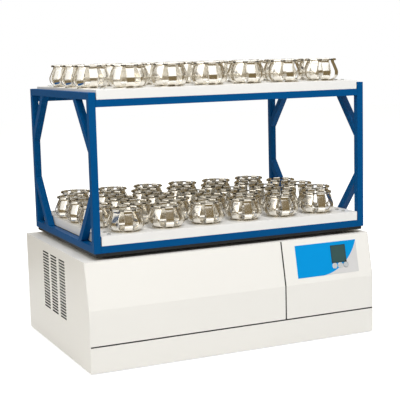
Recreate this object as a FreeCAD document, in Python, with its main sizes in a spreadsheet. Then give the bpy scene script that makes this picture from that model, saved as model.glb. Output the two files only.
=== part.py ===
import FreeCAD, Part
import Sketcher
import math
import os

# Double-deck orbital shaker, millimetres, +Z up.
# Origin: middle of the housing's footprint, on the surface that the feet stand on. The front faces -Y.
# At rest the cranks point to +X, so the platform stands one crank radius to the right of its shaft.

HOUSING = {
    "base_width": 1140,
    "base_depth": 749,
    "base_top": 385,
    "skirt_gap": 4,
    "front_setback": 34,
    "crease_height": 222,
    "groove_height": 96,
    "groove_width": 5,
    "seam_x": 191,
    "panel_sheet": 2,
    "rear_recess": 6,
    "fold_depth": 14,
    "support_bar": 20,
    "support_strip": 30,
    "bottom_sheet": 4,
    "foot_radius": 24,
    "foot_taper": 4,
    "foot_height": 12,
    "foot_inset_x": 70,
    "foot_inset_y": 69.5,
}

VENTS = {
    "vent_columns": 3,
    "vent_rows": 20,
    "vent_length": 72,
    "vent_opening": 6.5,
    "vent_column_pitch": 98,
    "vent_row_pitch": 11,
    "vent_middle_z": 243.5,
    "outlet_columns": 2,
    "outlet_rows": 8,
    "outlet_middle_x": 300,
    "outlet_middle_z": 250,
}

CONTROLS = {
    "overlay_left": 246,
    "overlay_right": 511,
    "overlay_low": 22,
    "overlay_high": 143.5,
    "film": 0.6,
    "curve_middle_x": 455,
    "curve_middle_up": 64,
    "curve_end_x": 361,
    "display_left": 398,
    "display_low": 65,
    "display_width": 62,
    "display_tall": 64,
    "display_glass": 1.2,
    "button_count": 3,
    "button_radius": 9.5,
    "button_first_x": 408.6,
    "button_pitch": 24.3,
    "button_up": 53.3,
    "button_gap": 0.3,
    "button_proud": 2.5,
    "button_travel": 1.5,
    "button_flange": 2,
    "button_flange_sheet": 1.5,
    "board_depth": 15,
    "board_sheet": 1.6,
    "board_margin": 6,
    "standoff_radius": 4,
    "switch_side": 12,
}

DRIVE = {
    "shaft_y": 17,
    "crank_radius": 13,
    "running_gap": 0.1,
    "loop_gap": 0.4,
    "seat_gap": 0.3,
    "deck_top": 330,
    "deck_sheet": 12,
    "deck_end_clearance": 95,
    "deck_side_clearance": 64.5,
    "leg_side": 40,
    "leg_inset": 30,
    "flange_sheet": 12,
    "main_shaft_radius": 20,
    "main_flange_radius": 66,
    "main_housing_radius": 46,
    "main_housing_length": 90,
    "main_disc_radius": 50,
    "main_shoulder_radius": 18,
    "main_pin_radius": 12,
    "idler_inset_x": 90,
    "idler_inset_y": 85,
    "idler_shaft_radius": 10,
    "idler_flange_radius": 42,
    "idler_housing_radius": 28,
    "idler_housing_length": 60,
    "idler_disc_radius": 30,
    "idler_shoulder_radius": 13,
    "idler_pin_radius": 8,
    "crank_disc": 12,
    "crank_top": 374,
    "cover_hole_gap": 5,
    "weight_radius": 120,
    "weight_sheet": 16,
    "weight_half_angle": 75,
    "pulley_low": 190,
    "pulley_face": 24,
    "pulley_rim": 4,
    "pulley_lip": 2,
    "main_pulley_radius": 125,
    "motor_pulley_radius": 30,
    "pulley_web": 8,
    "pulley_hub_radius": 34,
    "pulley_rim_depth": 16,
    "belt_sheet": 4,
    "motor_x": -240,
    "motor_radius": 62,
    "motor_length": 128,
    "motor_shaft_radius": 8,
    "motor_plate_sheet": 8,
    "motor_plate_front": 88,
    "motor_plate_rear": 40,
    "motor_plate_half": 94,
    "motor_post_radius": 8,
    "motor_post_x": 22,
    "motor_post_far": 72,
    "motor_post_y": 78,
    "motor_drop": 8,
}

POWER = {
    "unit_width": 220,
    "unit_depth": 150,
    "unit_tall": 110,
    "unit_leg_clearance": 15,
    "unit_from_front": 194.5,
    "inlet_from_side": 140,
    "inlet_z": 60,
    "inlet_width": 28,
    "inlet_tall": 20,
    "inlet_depth": 22,
    "inlet_lip": 4,
    "inlet_wall": 3,
    "pin_pitch": 7,
    "pin_width": 4,
    "pin_sheet": 2,
    "rocker_from_side": 100,
    "rocker_width": 14,
    "rocker_tall": 24,
    "rocker_depth": 6,
    "rocker_tip": 3.2,
    "rocker_tilt_angle": 8,
    "rocker_gap": 0.5,
    "bezel_wall": 3,
    "bezel_depth": 14,
    "cover_screw_radius": 5,
    "cover_screw_head": 3,
    "cover_screw_inset": 26,
}

FRAME = {
    "table_gap": 12,
    "table_sheet": 12,
    "table_inset": 6,
    "table_hole_gap": 2,
    "table_housing_main": 40,
    "table_housing_idler": 25,
    "table_housing_tall": 30,
    "frame_length": 1085,
    "frame_depth": 706,
    "frame_tall": 548,
    "tube": 25,
    "tube_wall": 2,
    "brace_run": 131,
    "brace_rise": 158,
    "tray_end_gap": 3.5,
    "tray_tall": 33,
    "tray_sheet": 2,
    "screw_inset_x": 40,
    "screw_inset_y": 36,
    "screw_pitch": 45,
    "screw_radius": 7,
    "screw_head": 5,
}

CLAMPS = {
    "row_count": 5,
    "end_row_clamp_count": 6,
    "middle_row_clamp_count": 7,
    "end_row_pitch": 155,
    "end_row_shift": -10,
    "upper_front_row_shift": 15.5,
    "middle_row_pitch": 152,
    "row_pitch": 139,
    "clamp_disc_radius": 53,
    "clamp_disc_sheet": 3,
    "finger_count": 8,
    "finger_turn": -11,
    "finger_width": 28,
    "finger_sheet": 2.4,
    "finger_foot": 50,
    "bulge_radius": 66,
    "bulge_up": 33,
    "neck_radius": 52,
    "finger_tall": 80,
}

doc = FreeCAD.newDocument("double_deck_shaker")
sheet = doc.addObject("Spreadsheet::Sheet", "Sizes")
nodes = []


def fill_sheet(tables):
    row = 0
    for table in tables:
        for name, value in table.items():
            row += 1
            sheet.set("A%d" % row, name)
            sheet.set("B%d" % row, str(value))
            sheet.setAlias("B%d" % row, name)
    doc.recompute()


def size(name):
    return float(sheet.get(name))


def count(name):
    return int(round(size(name)))


def rule(text):
    """An expression in which each {name} is a size of the sheet."""
    return text.replace("{", "Sizes.").replace("}", "")


def bind(item, place=None, **sizes):
    for name, text in sizes.items():
        item.setExpression(name, rule(text))
    for axis, text in zip("xyz", place or ()):
        item.setExpression("Placement.Base." + axis, rule(text))
    return item


def node(item, label):
    """Marks a finished sub-part and gives it the name of its file."""
    item.Label = label
    nodes.append(item)
    return item


# Primitives, joins and groups

def box(name, sizes, corner):
    item = doc.addObject("Part::Box", name)
    return bind(item, corner, Length=sizes[0], Width=sizes[1], Height=sizes[2])


def face_box(name, part, margin, back, deep):
    """A block centred on the rear panel's inlet or rocker, wider than it by a margin all round."""
    sizes = ["{%s_width} + 2 * %s" % (part, margin), deep, "{%s_tall} + 2 * %s" % (part, margin)]
    centre = INLET_X if part == "inlet" else ROCKER_X
    corner = [centre + " - {%s_width} / 2 - %s" % (part, margin), back,
              "{inlet_z} - {%s_tall} / 2 - %s" % (part, margin)]
    return box(name, sizes, corner)


def cylinder(name, radius, tall, foot):
    item = doc.addObject("Part::Cylinder", name)
    return bind(item, foot, Radius=radius, Height=tall)


def prism(name, sides, radius, tall, foot):
    item = doc.addObject("Part::Prism", name)
    item.Polygon = sides
    return bind(item, foot, Circumradius=radius, Height=tall)


def cut(name, base, tool):
    item = doc.addObject("Part::Cut", name)
    item.Base = base
    item.Tool = tool
    return item


def fuse(name, parts):
    item = doc.addObject("Part::MultiFuse", name)
    item.Shapes = parts
    return item


def group(name, parts):
    item = doc.addObject("Part::Compound", name)
    item.Links = parts
    return item


def copies(name, source, places):
    """Separate solids, one copy of a recomputed source at each placement."""
    shapes = []
    for place in places:
        shape = source.Shape.copy()
        shape.Placement = place.multiply(shape.Placement)
        shapes.append(shape)
    item = doc.addObject("Part::Feature", name)
    item.Shape = Part.makeCompound(shapes)
    return item


def feature(name, shape, place=None):
    item = doc.addObject("Part::Feature", name)
    item.Shape = shape
    if place:
        item.Placement = place
    return item


def at(x, y, z, turn=0):
    return FreeCAD.Placement(FreeCAD.Vector(x, y, z), FreeCAD.Rotation(FreeCAD.Vector(0, 0, 1), turn))


# Bodies and their sketches. A loop is a closed polygon whose corners are pairs of rules.

def body(name):
    return doc.addObject("PartDesign::Body", name)


def sketch(owner, name, plane, offset, loops):
    item = owner.newObject("Sketcher::SketchObject", name)
    support = [f for f in owner.Origin.OriginFeatures if f.Role == plane + "_Plane"][0]
    item.AttachmentSupport = (support, [""])
    item.MapMode = "FlatFace"
    item.setExpression("AttachmentOffset.Base.z", rule(offset))
    for loop in loops:
        add_loop(item, loop)
    return item


def add_loop(item, loop):
    first = item.GeometryCount
    corners = len(loop)
    step = 2 * math.pi / corners
    start = [FreeCAD.Vector(math.cos(i * step), math.sin(i * step), 0) for i in range(corners)]
    for i in range(corners):
        item.addGeometry(Part.LineSegment(start[i], start[(i + 1) % corners]), False)
    for i in range(corners):
        join = (first + i, 2, first + (i + 1) % corners, 1)
        item.addConstraint(Sketcher.Constraint("Coincident", *join))
    for i, (across, up) in enumerate(loop):
        for kind, text, value in (("DistanceX", across, start[i].x), ("DistanceY", up, start[i].y)):
            index = item.addConstraint(Sketcher.Constraint(kind, -1, 1, first + i, 1, value))
            item.setExpression("Constraints[%d]" % index, rule(text))


def rectangle(left, low, right, high):
    return [(left, low), (right, low), (right, high), (left, high)]


def pad(name, plane, offset, loops, length, middle=False):
    owner = body(name)
    outline = sketch(owner, name + "_outline", plane, offset, loops)
    item = owner.newObject("PartDesign::Pad", name + "_pad")
    item.Profile = outline
    item.Midplane = middle
    bind(item, Length=length)
    outline.Visibility = False
    return owner


def pocket(owner, name, plane, offset, loops, depth, towards_normal=True):
    outline = sketch(owner, name + "_outline", plane, offset, loops)
    item = owner.newObject("PartDesign::Pocket", name)
    item.Profile = outline
    item.Reversed = towards_normal
    bind(item, Length=depth)
    return item


def turned(name, loop, place=("0", "0", "0")):
    """A body turned about its own upright axis, from corners given as radius and height."""
    owner = body(name)
    outline = sketch(owner, name + "_outline", "XZ", "0", [loop])
    item = owner.newObject("PartDesign::Revolution", name + "_turn")
    item.Profile = outline
    item.ReferenceAxis = (outline, ["V_Axis"])
    item.Angle = 360
    return bind(owner, place)


# Shared rules

INNER_X = "({base_width} / 2 - {panel_sheet})"
FRONT_Y = "(-{base_depth} / 2)"
BACK_Y = "({base_depth} / 2)"
REAR_PANEL_Y = "({base_depth} / 2 - {rear_recess} - {panel_sheet})"
COVER_LOW = "({base_top} - {panel_sheet})"
SLOPE_TALL = "({base_top} - {crease_height})"
SLOPE_TOP = "({front_setback} * (" + SLOPE_TALL + " - {panel_sheet}) / " + SLOPE_TALL + ")"
GROOVE_LOW = "({groove_height} - {groove_width} / 2)"
GROOVE_HIGH = "({groove_height} + {groove_width} / 2)"
FLOOR_Z = "({foot_height} + {bottom_sheet})"
DECK_LOW = "({deck_top} - {deck_sheet})"
TABLE_LOW = "({base_top} + {table_gap})"
FRAME_LOW = "({base_top} + {table_gap} + {table_sheet})"
FRAME_TOP = "({base_top} + {table_gap} + {table_sheet} + {frame_tall})"
FRAME_LEFT = "({crank_radius} - {frame_length} / 2)"
FRAME_RIGHT = "({crank_radius} + {frame_length} / 2)"
FRAME_FRONT = "({shaft_y} - {frame_depth} / 2)"
TRAY_LEFT = "({crank_radius} - {frame_length} / 2 + {tube} + {tray_end_gap})"
TRAY_RIGHT = "({crank_radius} + {frame_length} / 2 - {tube} - {tray_end_gap})"
FRAME_BACK = "({shaft_y} + {frame_depth} / 2)"
DECK_HALF_X = "({base_width} / 2 - {deck_end_clearance})"
DECK_HALF_Y = "({base_depth} / 2 - {deck_side_clearance})"
LEG_X = "({base_width} / 2 - {deck_end_clearance} - {leg_inset})"
LEG_Y = "({base_depth} / 2 - {deck_side_clearance} - {leg_inset})"
IDLER_X = "({base_width} / 2 - {deck_end_clearance} - {idler_inset_x})"
IDLER_Y = "({base_depth} / 2 - {deck_side_clearance} - {idler_inset_y})"
INLET_X = "({base_width} / 2 - {inlet_from_side})"
ROCKER_X = "({base_width} / 2 - {rocker_from_side})"
BETWEEN_POSTS_X = "({frame_length} - 2 * {tube})"
BETWEEN_POSTS_Y = "({frame_depth} - 2 * {tube})"


def minus(text):
    return "(-" + text + ")"


def idler_places():
    """Plan positions of the four idler shafts."""
    x = size("base_width") / 2 - size("deck_end_clearance") - size("idler_inset_x")
    y = size("base_depth") / 2 - size("deck_side_clearance") - size("idler_inset_y")
    middle = size("shaft_y")
    return [(-x, middle - y), (x, middle - y), (x, middle + y), (-x, middle + y)]


def slope():
    """Angle between the sloping control face and the upright."""
    return math.atan(size("front_setback") / (size("base_top") - size("crease_height")))


def face_place(x=0, up=0, out=0):
    """A place on the sloping face: x across, up from the crease, out along the face's normal."""
    lean = slope()
    y = -size("base_depth") / 2 + up * math.sin(lean) - out * math.cos(lean)
    z = size("crease_height") + up * math.cos(lean) + out * math.sin(lean)
    turn = FreeCAD.Rotation(FreeCAD.Vector(1, 0, 0), 90 - math.degrees(lean))
    return FreeCAD.Placement(FreeCAD.Vector(x, y, z), turn)


def local_box(wide, tall, thick):
    """A box centred across and up, standing on the face."""
    return Part.makeBox(wide, tall, thick, FreeCAD.Vector(-wide / 2, -tall / 2, 0))


# Housing

def side_panel(name, offset):
    outline = [(FRONT_Y, "{skirt_gap}"), (BACK_Y, "{skirt_gap}"), (BACK_Y, "{base_top}"),
               (FRONT_Y + " + {front_setback}", "{base_top}"), (FRONT_Y, "{crease_height}")]
    return pad(name, "YZ", offset, [outline], "{panel_sheet}")


def vent_slots():
    """Three columns of short level slots through the left side."""
    long = size("vent_length")
    tall = size("vent_opening")
    sheet_metal = size("panel_sheet")
    slots = []
    for column in range(count("vent_columns")):
        y = size("shaft_y") + (column - (count("vent_columns") - 1) / 2) * size("vent_column_pitch")
        for row in range(count("vent_rows")):
            z = size("vent_middle_z") + (row - (count("vent_rows") - 1) / 2) * size("vent_row_pitch")
            corner = FreeCAD.Vector(-size("base_width") / 2 - sheet_metal, y - long / 2, z - tall / 2)
            slots.append(Part.makeBox(3 * sheet_metal, long, tall, corner))
    return feature("vent_slots", Part.makeCompound(slots))


def outlet_slots():
    """Two columns of wider-spaced slots through the rear panel."""
    long = size("vent_length")
    tall = size("vent_opening")
    y = size("base_depth") / 2 - size("rear_recess") - 2 * size("panel_sheet")
    slots = []
    for column in range(count("outlet_columns")):
        side = 2 * column / (count("outlet_columns") - 1) - 1
        for row in range(count("outlet_rows")):
            rise = (row - (count("outlet_rows") - 1) / 2) * 2 * size("vent_row_pitch")
            corner = FreeCAD.Vector(side * size("outlet_middle_x") - long / 2, y,
                                    size("outlet_middle_z") + rise - tall / 2)
            slots.append(Part.makeBox(long, 3 * size("panel_sheet"), tall, corner))
    return feature("outlet_slots", Part.makeCompound(slots))


def front_profile():
    """Bent sheet: a fold at the groove, an upright part, the crease and the slope to the top."""
    return [(FRONT_Y, GROOVE_HIGH), (FRONT_Y, "{crease_height}"),
            (FRONT_Y + " + " + SLOPE_TOP, COVER_LOW),
            (FRONT_Y + " + " + SLOPE_TOP + " + {panel_sheet}", COVER_LOW),
            (FRONT_Y + " + {panel_sheet}", "{crease_height}"),
            (FRONT_Y + " + {panel_sheet}", GROOVE_HIGH + " + {panel_sheet}"),
            (FRONT_Y + " + {fold_depth}", GROOVE_HIGH + " + {panel_sheet}"),
            (FRONT_Y + " + {fold_depth}", GROOVE_HIGH)]


def housing():
    inner_width = "2 * " + INNER_X
    feet = cone_foot()
    inner_depth = REAR_PANEL_Y + " - " + FRONT_Y + " - {panel_sheet}"
    bottom = box("bottom", [inner_width, inner_depth, "{bottom_sheet}"],
                 [minus(INNER_X), FRONT_Y + " + {panel_sheet}", "{foot_height}"])
    node(bottom, "bottom_plate")
    left = side_panel("left_blank", "-{base_width} / 2")
    node(side_panel("right_panel", INNER_X), "right_side_panel")
    doc.recompute()
    node(cut("left_panel", left, vent_slots()), "left_side_panel")
    reach_x = size("base_width") / 2 - size("foot_inset_x")
    reach_y = size("base_depth") / 2 - size("foot_inset_y")
    places = [at(x, y, 0) for x in (-reach_x, reach_x) for y in (-reach_y, reach_y)]
    node(copies("feet", feet, places), "rubber_feet")
    node(rear_panel(), "rear_panel")
    node(top_cover(), "top_cover")
    seam_left = "({seam_x} - {groove_width} / 2)"
    seam_right = "({seam_x} + {groove_width} / 2)"
    left_front = pad("front_cover_sheet", "YZ", minus(INNER_X), [front_profile()],
                     INNER_X + " + " + seam_left)
    node(left_front, "front_cover")
    right_front = pad("control_cover_sheet", "YZ", seam_right, [front_profile()],
                      INNER_X + " - " + seam_right)
    node(button_openings(right_front), "control_cover")
    skirt = [(FRONT_Y, "{skirt_gap}"), (FRONT_Y, GROOVE_LOW), (FRONT_Y + " + {fold_depth}", GROOVE_LOW),
             (FRONT_Y + " + {fold_depth}", GROOVE_LOW + " - {panel_sheet}"),
             (FRONT_Y + " + {panel_sheet}", GROOVE_LOW + " - {panel_sheet}"),
             (FRONT_Y + " + {panel_sheet}", "{skirt_gap}")]
    node(pad("plinth_sheet", "YZ", minus(INNER_X), [skirt], inner_width), "plinth_cover")
    node(cover_frame(), "cover_frame")


def cone_foot():
    item = doc.addObject("Part::Cone", "foot")
    top = "{foot_radius}"
    return bind(item, Radius1=top + " - {foot_taper}", Radius2=top, Height="{foot_height}")


def rear_panel():
    blank = box("rear_blank", ["2 * " + INNER_X, "{panel_sheet}", COVER_LOW + " - {skirt_gap}"],
                [minus(INNER_X), REAR_PANEL_Y, "{skirt_gap}"])
    back = REAR_PANEL_Y + " - {panel_sheet}"
    inlet = face_box("inlet_opening", "inlet", "0", back, "3 * {panel_sheet}")
    wall = "({bezel_wall} + {rocker_gap})"
    switch = face_box("switch_opening", "rocker", wall, back, "3 * {panel_sheet}")
    doc.recompute()
    return cut("rear_sheet", blank, group("rear_openings", [inlet, switch, outlet_slots()]))


def top_cover():
    blank = box("top_blank", ["2 * " + INNER_X, "{base_depth} - {front_setback}", "{panel_sheet}"],
                [minus(INNER_X), FRONT_Y + " + {front_setback}", COVER_LOW])
    low = COVER_LOW + " - {panel_sheet}"
    tall = "3 * {panel_sheet}"
    reach = "{crank_radius} + {cover_hole_gap}"
    holes = [cylinder("main_opening", "{main_shoulder_radius} + " + reach, tall, ["0", "{shaft_y}", low])]
    for i, (side_x, side_y) in enumerate(IDLER_SIDES):
        place = [side_x + IDLER_X, "{shaft_y}" + side_y + IDLER_Y, low]
        holes.append(cylinder("idler_opening_%d" % i, "{idler_shoulder_radius} + " + reach, tall, place))
    return cut("top_sheet", blank, group("top_openings", holes))


IDLER_SIDES = [("-", " - "), ("", " - "), ("", " + "), ("-", " + ")]


def button_openings(cover):
    """Round holes for the push buttons, square to the sloping face."""
    doc.recompute()
    radius = size("button_radius") + size("button_gap")
    deep = 4 * size("panel_sheet")
    tools = []
    for i in range(count("button_count")):
        hole = Part.makeCylinder(radius, deep, FreeCAD.Vector(0, 0, -deep / 2))
        hole.Placement = face_place(button_x(i), size("button_up"))
        tools.append(hole)
    return cut("control_sheet", cover, feature("button_holes", Part.makeCompound(tools)))


def button_x(i):
    return size("button_first_x") + i * size("button_pitch")


def cover_frame():
    """Bar behind the level groove and strip behind the upright one."""
    bar = box("groove_bar", ["2 * " + INNER_X, "{support_bar}", "2 * {support_bar}"],
              [minus(INNER_X), FRONT_Y + " + {fold_depth}", "{groove_height} - {support_bar}"])
    face = FRONT_Y + " + {panel_sheet}"
    back = " + {support_bar}"
    low = "{groove_height} + {support_bar}"
    high = face + " + " + SLOPE_TOP
    profile = [(face, low), (face, "{crease_height}"), (high, COVER_LOW), (high + back, COVER_LOW),
               (face + back, "{crease_height}"), (face + back, low)]
    strip = pad("seam_strip", "YZ", "{seam_x} - {support_strip} / 2", [profile], "{support_strip}")
    return group("cover_supports", [bar, strip])


# Control panel

def overlay():
    """Printed film in two colours, which meet on one arc."""
    left = size("overlay_left")
    right = size("overlay_right")
    low = size("overlay_low")
    high = size("overlay_high")
    film = FreeCAD.Vector(0, 0, size("film"))
    start = FreeCAD.Vector(size("curve_end_x"), low, 0)
    middle = FreeCAD.Vector(size("curve_middle_x"), size("curve_middle_up"), 0)
    end = FreeCAD.Vector(right, high, 0)
    arc = Part.Arc(start, middle, end).toShape()
    top_left = FreeCAD.Vector(left, high, 0)
    low_left = FreeCAD.Vector(left, low, 0)
    low_right = FreeCAD.Vector(right, low, 0)
    blue_edges = [arc, Part.makeLine(end, top_left), Part.makeLine(top_left, low_left)]
    blue_edges.append(Part.makeLine(low_left, start))
    grey_edges = [arc, Part.makeLine(end, low_right), Part.makeLine(low_right, start)]
    holes = []
    for i in range(count("button_count")):
        centre = FreeCAD.Vector(button_x(i), size("button_up"), -film.z)
        holes.append(Part.makeCylinder(size("button_radius") + size("button_gap"), 3 * film.z, centre))
    tool = Part.makeCompound(holes)
    for label, edges in (("blue_overlay", blue_edges), ("grey_overlay", grey_edges)):
        flat = Part.Face(Part.Wire(Part.sortEdges(edges)[0]))
        node(feature(label, flat.extrude(film).cut(tool), face_place()), label)


def display():
    glass = Part.makeBox(size("display_width"), size("display_tall"), size("display_glass"))
    place = face_place(size("display_left"), size("display_low"), size("film"))
    node(feature("display", glass, place), "display_window")


def buttons():
    """Domed caps, each kept by a flange behind the cover."""
    radius = size("button_radius")
    wide = radius + size("button_flange")
    shoulder = -size("panel_sheet") - size("seat_gap")
    low = shoulder - size("button_flange_sheet")
    proud = size("film") + size("button_proud")
    edge = size("button_proud") / 2
    corners = [(0, low), (wide, low), (wide, shoulder), (radius, shoulder), (radius, proud - edge),
               (radius - edge, proud), (0, proud)]
    points = [FreeCAD.Vector(r, 0, z) for r, z in corners]
    wire = Part.makePolygon(points + points[:1])
    cap = Part.Face(wire).revolve(FreeCAD.Vector(0, 0, 0), FreeCAD.Vector(0, 0, 1), 360)
    for i in range(count("button_count")):
        label = "push_button_%d" % (i + 1)
        node(feature(label, cap, face_place(button_x(i), size("button_up"))), label)


def control_board():
    """Circuit board on four standoffs behind the cover, with a switch under each button."""
    margin = size("board_margin")
    wide = size("overlay_right") - size("overlay_left") + 2 * margin
    tall = size("overlay_high") - size("overlay_low") + 2 * margin
    middle_x = (size("overlay_right") + size("overlay_left")) / 2
    middle_up = (size("overlay_high") + size("overlay_low")) / 2
    board = local_box(wide, tall, size("board_sheet"))
    board.Placement = face_place(middle_x, middle_up, -size("board_depth") - size("board_sheet"))
    solids = [board]
    inner_face = size("panel_sheet") * math.cos(slope())
    for side_x in (-1, 1):
        for side_up in (-1, 1):
            post = Part.makeCylinder(size("standoff_radius"), size("board_depth") - inner_face)
            post.Placement = face_place(middle_x + side_x * (wide / 2 - margin),
                                        middle_up + side_up * (tall / 2 - margin), -size("board_depth"))
            solids.append(post)
    node(feature("board", Part.makeCompound(solids)), "control_board")
    back = size("panel_sheet") + 2 * size("seat_gap") + size("button_flange_sheet") + size("button_travel")
    switches = []
    for i in range(count("button_count")):
        switch = local_box(size("switch_side"), size("switch_side"), size("board_depth") - back)
        switch.Placement = face_place(button_x(i), size("button_up"), -size("board_depth"))
        switches.append(switch)
    node(feature("switches", Part.makeCompound(switches)), "button_switches")


# Power entry

def power_entry():
    unit = box("unit", ["{unit_width}", "{unit_depth}", "{unit_tall}"],
               [LEG_X + " - {leg_side} / 2 - {unit_leg_clearance} - {unit_width}",
                FRONT_Y + " + {unit_from_front} - {unit_depth} / 2", FLOOR_Z])
    node(unit, "power_unit")
    panel_out = REAR_PANEL_Y + " + {panel_sheet}"
    lip = face_box("inlet_lip_block", "inlet", "{inlet_lip}", panel_out, "{inlet_lip} / 2")
    back = panel_out + " - {inlet_depth}"
    barrel = face_box("inlet_barrel", "inlet", "(-{running_gap})", back, "{inlet_depth}")
    well = face_box("inlet_well", "inlet", "(-{inlet_wall})", back + " + {inlet_wall}", "{inlet_depth}")
    shell = cut("inlet_shell", fuse("inlet_solid", [lip, barrel]), well)
    contacts = []
    for i, side in enumerate((" - {pin_pitch}", "", " + {pin_pitch}")):
        sizes = ["{pin_sheet}", "{inlet_depth} - 2 * {inlet_wall}", "{pin_width}"]
        corner = [INLET_X + side + " - {pin_sheet} / 2", back + " + {inlet_wall}",
                  "{inlet_z} - {pin_width} / 2"]
        contacts.append(box("inlet_contact_%d" % i, sizes, corner))
    node(group("inlet", [shell] + contacts), "power_inlet")
    wall = "({rocker_gap} + {bezel_wall} - {running_gap})"
    back = panel_out + " - {bezel_depth}"
    frame = face_box("bezel_block", "rocker", wall, back, "{bezel_depth}")
    rim = "({rocker_gap} + 2 * {bezel_wall})"
    flange = face_box("bezel_flange", "rocker", rim, panel_out, "{bezel_wall} / 2")
    hollow = face_box("bezel_well", "rocker", "{rocker_gap}", back + " + {bezel_wall}", "{bezel_depth}")
    node(cut("bezel", fuse("bezel_solid", [frame, flange]), hollow), "switch_bezel")
    rocker()


def rocker():
    """Rocker with two sloping faces, tilting about a level line through its middle, here switched off."""
    wide = size("rocker_width")
    half = size("rocker_tall") / 2
    tip = size("rocker_tip")
    deep = size("rocker_depth")
    corners = [(-half, tip), (0, tip / 3), (half, tip), (half - tip / 2, 0), (tip, -deep), (-tip, -deep),
               (-half + tip / 2, 0)]
    points = [FreeCAD.Vector(-wide / 2, out, up) for up, out in corners]
    solid = Part.Face(Part.makePolygon(points + points[:1])).extrude(FreeCAD.Vector(wide, 0, 0))
    y = size("base_depth") / 2 - size("rear_recess")
    x = size("base_width") / 2 - size("rocker_from_side")
    place = FreeCAD.Placement(FreeCAD.Vector(x, y, size("inlet_z")),
                              FreeCAD.Rotation(FreeCAD.Vector(1, 0, 0), -size("rocker_tilt_angle")))
    node(feature("rocker", solid, place), "rocker_switch")


def cover_screws():
    """Six-sided screw heads along the rear panel's edges."""
    y = size("base_depth") / 2 - size("rear_recess")
    inset = size("cover_screw_inset")
    half = size("base_width") / 2 - inset
    screws = []
    for z in (inset + size("skirt_gap"), size("base_top") - inset):
        for x in (-half, -half / 3, half / 3, half):
            head = Part.Face(Part.makePolygon(hexagon(size("cover_screw_radius"))))
            solid = head.extrude(FreeCAD.Vector(0, 0, size("cover_screw_head")))
            turn = FreeCAD.Rotation(FreeCAD.Vector(1, 0, 0), -90)
            solid.Placement = FreeCAD.Placement(FreeCAD.Vector(x, y, z), turn)
            screws.append(solid)
    node(feature("rear_screws", Part.makeCompound(screws)), "cover_screws")


def hexagon(radius):
    turns = [math.radians(60 * i) for i in range(7)]
    return [FreeCAD.Vector(radius * math.cos(a), radius * math.sin(a), 0) for a in turns]


# Drive

def bearing_housing(kind, place):
    """Flanged sleeve that stands on the deck and hangs through it."""
    bore = "{%s_shaft_radius} + {running_gap}" % kind
    barrel = "{%s_housing_radius}" % kind
    flange = "{%s_flange_radius}" % kind
    low = "-{%s_housing_length}" % kind
    corners = [(bore, low), (barrel, low), (barrel, "0"), (flange, "0"), (flange, "{flange_sheet}"),
               (bore, "{flange_sheet}")]
    return turned(kind + "_sleeve", corners, place)


def deck():
    blank = box("deck_blank", ["2 * " + DECK_HALF_X, "2 * " + DECK_HALF_Y, "{deck_sheet}"],
                [minus(DECK_HALF_X), "{shaft_y} - " + DECK_HALF_Y, DECK_LOW])
    low = DECK_LOW + " - {deck_sheet}"
    holes = [cylinder("deck_opening", "{main_housing_radius} + {running_gap}", "3 * {deck_sheet}",
                      ["0", "{shaft_y}", low])]
    for i, (side_x, side_y) in enumerate(IDLER_SIDES):
        place = [side_x + IDLER_X, "{shaft_y}" + side_y + IDLER_Y, low]
        holes.append(cylinder("deck_opening_%d" % i, "{idler_housing_radius} + {running_gap}",
                              "3 * {deck_sheet}", place))
    node(cut("deck", blank, group("deck_openings", holes)), "bearing_deck")
    legs = []
    for i, (side_x, side_y) in enumerate(IDLER_SIDES):
        half = " - {leg_side} / 2"
        place = [side_x + LEG_X + half, "{shaft_y}" + side_y + LEG_Y + half, FLOOR_Z]
        legs.append(box("leg_%d" % i, ["{leg_side}", "{leg_side}", DECK_LOW + " - " + FLOOR_Z], place))
    node(group("legs", legs), "deck_legs")
    node(bearing_housing("main", ["0", "{shaft_y}", "{deck_top}"]), "main_bearing_housing")
    idler = bearing_housing("idler", ["0", "0", "{deck_top}"])
    doc.recompute()
    places = [at(x, y, 0) for x, y in idler_places()]
    node(copies("idler_sleeves", idler, places), "idler_bearing_housings")


def crank(name, kind, shaft_low, centre):
    """Shaft, crank disc, thrust shoulder and eccentric pin, in one piece."""
    x, y = centre
    offset = x + " + {crank_radius}"
    disc_low = "({crank_top} - {crank_disc})"
    shaft = cylinder(name + "_shaft", "{%s_shaft_radius}" % kind, disc_low + " - " + shaft_low,
                     [x, y, shaft_low])
    disc = cylinder(name + "_disc", "{%s_disc_radius}" % kind, "{crank_disc}", [x, y, disc_low])
    shoulder = cylinder(name + "_shoulder", "{%s_shoulder_radius}" % kind,
                        TABLE_LOW + " - {seat_gap} - {crank_top}", [offset, y, "{crank_top}"])
    pin = cylinder(name + "_pin", "{%s_pin_radius}" % kind,
                   FRAME_LOW + " + {table_housing_tall} - {crank_top}", [offset, y, "{crank_top}"])
    return fuse(name, [shaft, disc, shoulder, pin])


def cranks():
    main = crank("main_crank", "main", "({pulley_low} - {pulley_lip})", ("0", "{shaft_y}"))
    node(main, "crank_shaft")
    for i, (side_x, side_y) in enumerate(IDLER_SIDES):
        centre = (side_x + IDLER_X, "{shaft_y}" + side_y + IDLER_Y)
        low = "({deck_top} - {idler_housing_length})"
        label = "idler_crank_%d" % (i + 1)
        node(crank("idler_%d" % (i + 1), "idler", low, centre), label)
    sector = doc.addObject("Part::Cylinder", "weight_sector")
    bind(sector, ["0", "{shaft_y}", "{crank_top} - {crank_disc} - {weight_sheet}"],
         Radius="{weight_radius}", Height="{weight_sheet}", Angle="2 * {weight_half_angle}")
    sector.setExpression("Placement.Rotation.Yaw", rule("180 - {weight_half_angle}"))
    bore = cylinder("weight_bore", "{main_shaft_radius} + {running_gap}", "3 * {weight_sheet}",
                    ["0", "{shaft_y}", "{crank_top} - {crank_disc} - 2 * {weight_sheet}"])
    node(cut("weight", sector, bore), "counterweight")


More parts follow.
